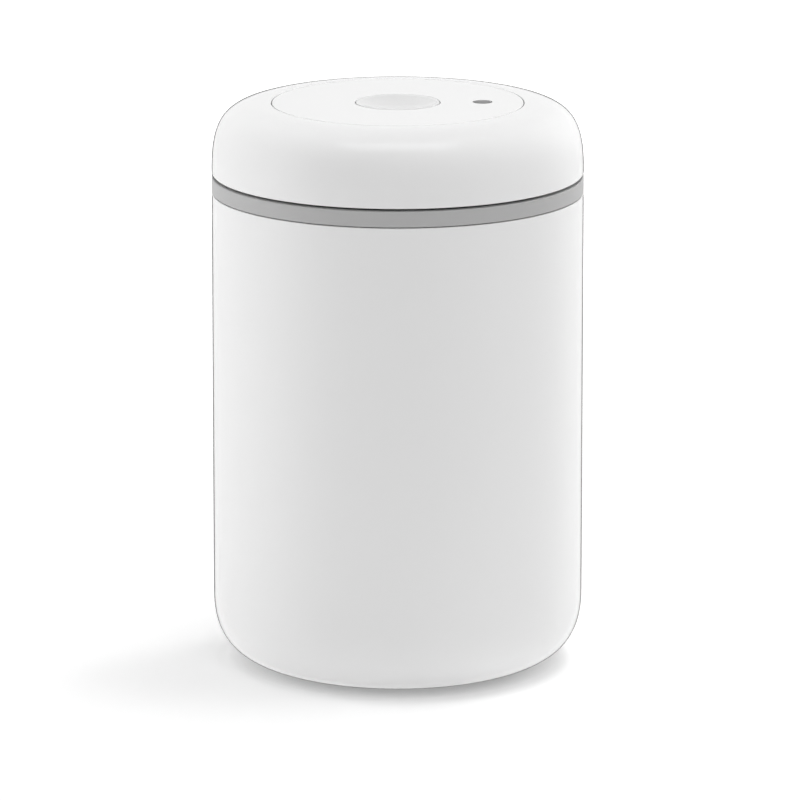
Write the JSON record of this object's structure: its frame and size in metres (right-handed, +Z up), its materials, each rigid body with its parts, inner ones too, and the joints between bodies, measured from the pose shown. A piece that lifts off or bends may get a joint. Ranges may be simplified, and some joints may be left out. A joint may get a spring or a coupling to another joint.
{
  "type": "vacuum seal canister",
  "caption": "Round steel food canister with a lift-off lid: its domed ring twists to pump the air out, a button lets it back in and a dot shows the vacuum.",
  "frame": {"origin": "middle of the standing face at the bottom, on the canister's axis", "axes": "+Z up along the canister's axis, -Y towards the front of the picture, +X towards the vacuum indicator"},
  "size_m": [0.1244, 0.1244, 0.1917],
  "materials": {
    "white_coated_steel": "matt white powder coat, bare steel inside",
    "white_moulding": "fine matt moulding",
    "grey_collar": "satin grey silicone",
    "grey_moulding": "matt grey moulding",
    "natural_moulding": "natural low-friction moulding",
    "grey_dot": "satin grey moulding",
    "clear_silicone": "translucent silicone",
    "steel": "bright zinc-plated steel"
  },
  "bodies": {
    "canister": {"canister_shell": "white_coated_steel"},
    "lid": {"lid_base": "grey_moulding", "collar_ring": "grey_collar", "mouth_gasket": "clear_silicone", "inlet_valve": "clear_silicone", "filter_screen": "grey_moulding", "pump_cover": "grey_moulding", "duct_seal": "clear_silicone", "cover_screws": "steel", "glide_ring": "natural_moulding", "sleeve_clip": "steel", "top_plate": "white_moulding", "indicator_housing": "grey_moulding", "indicator_diaphragm": "clear_silicone"},
    "twist_cap": {"cap_shell": "white_moulding", "cap_driver": "natural_moulding", "driver_screws": "steel"},
    "piston": {"pump_piston": "natural_moulding", "piston_seal": "clear_silicone", "stem_seal": "clear_silicone", "cam_pins": "steel", "exhaust_valve": "clear_silicone"},
    "release": {"release_button": "white_moulding", "release_stem": "steel", "release_seal": "clear_silicone", "button_spring": "steel"},
    "indicator": {"indicator_pin": "grey_dot", "indicator_spring": "steel"}
  },
  "joints": [
    {"name": "lid_lift", "type": "slide", "parent": "canister", "child": "lid", "axis": [0, 0, 1], "range_m": [0, 0.08]},
    {"name": "cap_twist", "type": "hinge", "parent": "lid", "child": "twist_cap", "pos_m": [0, 0, 0.17], "axis": [0, 0, 1], "range_deg": [0, 75]},
    {"name": "pump_stroke", "type": "slide", "parent": "lid", "child": "piston", "axis": [0, 0, 1], "range_m": [0, 0.0105]},
    {"name": "button_press", "type": "slide", "parent": "lid", "child": "release", "axis": [0, 0, -1], "range_m": [0, 0.0025], "stiffness_N_per_m": 500, "springref_m": -0.004, "deforming": ["button_spring"]},
    {"name": "indicator_drop", "type": "slide", "parent": "lid", "child": "indicator", "axis": [0, 0, -1], "range_m": [0, 0.0025], "stiffness_N_per_m": 150, "springref_m": -0.003, "deforming": ["indicator_spring", "indicator_diaphragm"]}
  ],
  "couplings": [
    {"joint": "pump_stroke", "follows": "cap_twist", "m_per_rad": 0.0080214}
  ]
}
